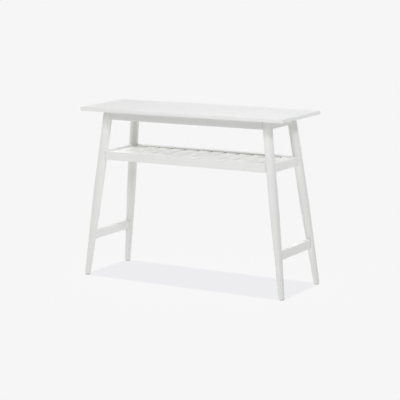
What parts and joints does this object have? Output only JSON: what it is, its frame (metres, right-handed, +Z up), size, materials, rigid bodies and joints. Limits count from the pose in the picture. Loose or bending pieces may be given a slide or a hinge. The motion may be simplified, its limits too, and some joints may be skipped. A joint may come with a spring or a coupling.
{
  "type": "console table",
  "caption": "White painted console table with a thin overhanging top, splayed turned legs, a slatted shelf between them and a low stretcher at each end.",
  "frame": {"origin": "on the floor, under the middle of the table top", "axes": "+X along the table to its right end as seen from the front, +Y from the front to the back, +Z up"},
  "size_m": [1.0044, 0.3446, 0.75],
  "materials": {
    "white_paint": "satin white lacquer over wood, faint brush and grain relief",
    "raw_wood": "unpainted sanded wood",
    "zinc_steel": "zinc plated",
    "nylon": "matte moulded nylon"
  },
  "bodies": {
    "root": {"table_top": "white_paint", "leg_front_left": "white_paint", "leg_front_right": "white_paint", "leg_back_left": "white_paint", "leg_back_right": "white_paint", "apron_front": "white_paint", "apron_back": "white_paint", "apron_left": "white_paint", "apron_right": "white_paint", "shelf_rail_front": "white_paint", "shelf_rail_back": "white_paint", "shelf_rail_left": "white_paint", "shelf_rail_right": "white_paint", "slat_01": "white_paint", "slat_02": "white_paint", "slat_03": "white_paint", "slat_04": "white_paint", "slat_05": "white_paint", "slat_06": "white_paint", "slat_07": "white_paint", "slat_08": "white_paint", "slat_09": "white_paint", "slat_10": "white_paint", "slat_11": "white_paint", "slat_12": "white_paint", "stretcher_left": "white_paint", "stretcher_right": "white_paint", "corner_block_front_left": "raw_wood", "corner_block_front_right": "raw_wood", "corner_block_back_left": "raw_wood", "corner_block_back_right": "raw_wood", "apron_dowels": "raw_wood", "shelf_dowels": "raw_wood", "stretcher_dowels": "raw_wood", "hanger_bolts": "zinc_steel", "bolt_washers": "zinc_steel", "bolt_nuts": "zinc_steel", "top_screws": "zinc_steel", "foot_glide_front_left": "nylon", "foot_glide_front_right": "nylon", "foot_glide_back_left": "nylon", "foot_glide_back_right": "nylon"}
  },
  "joints": []
}
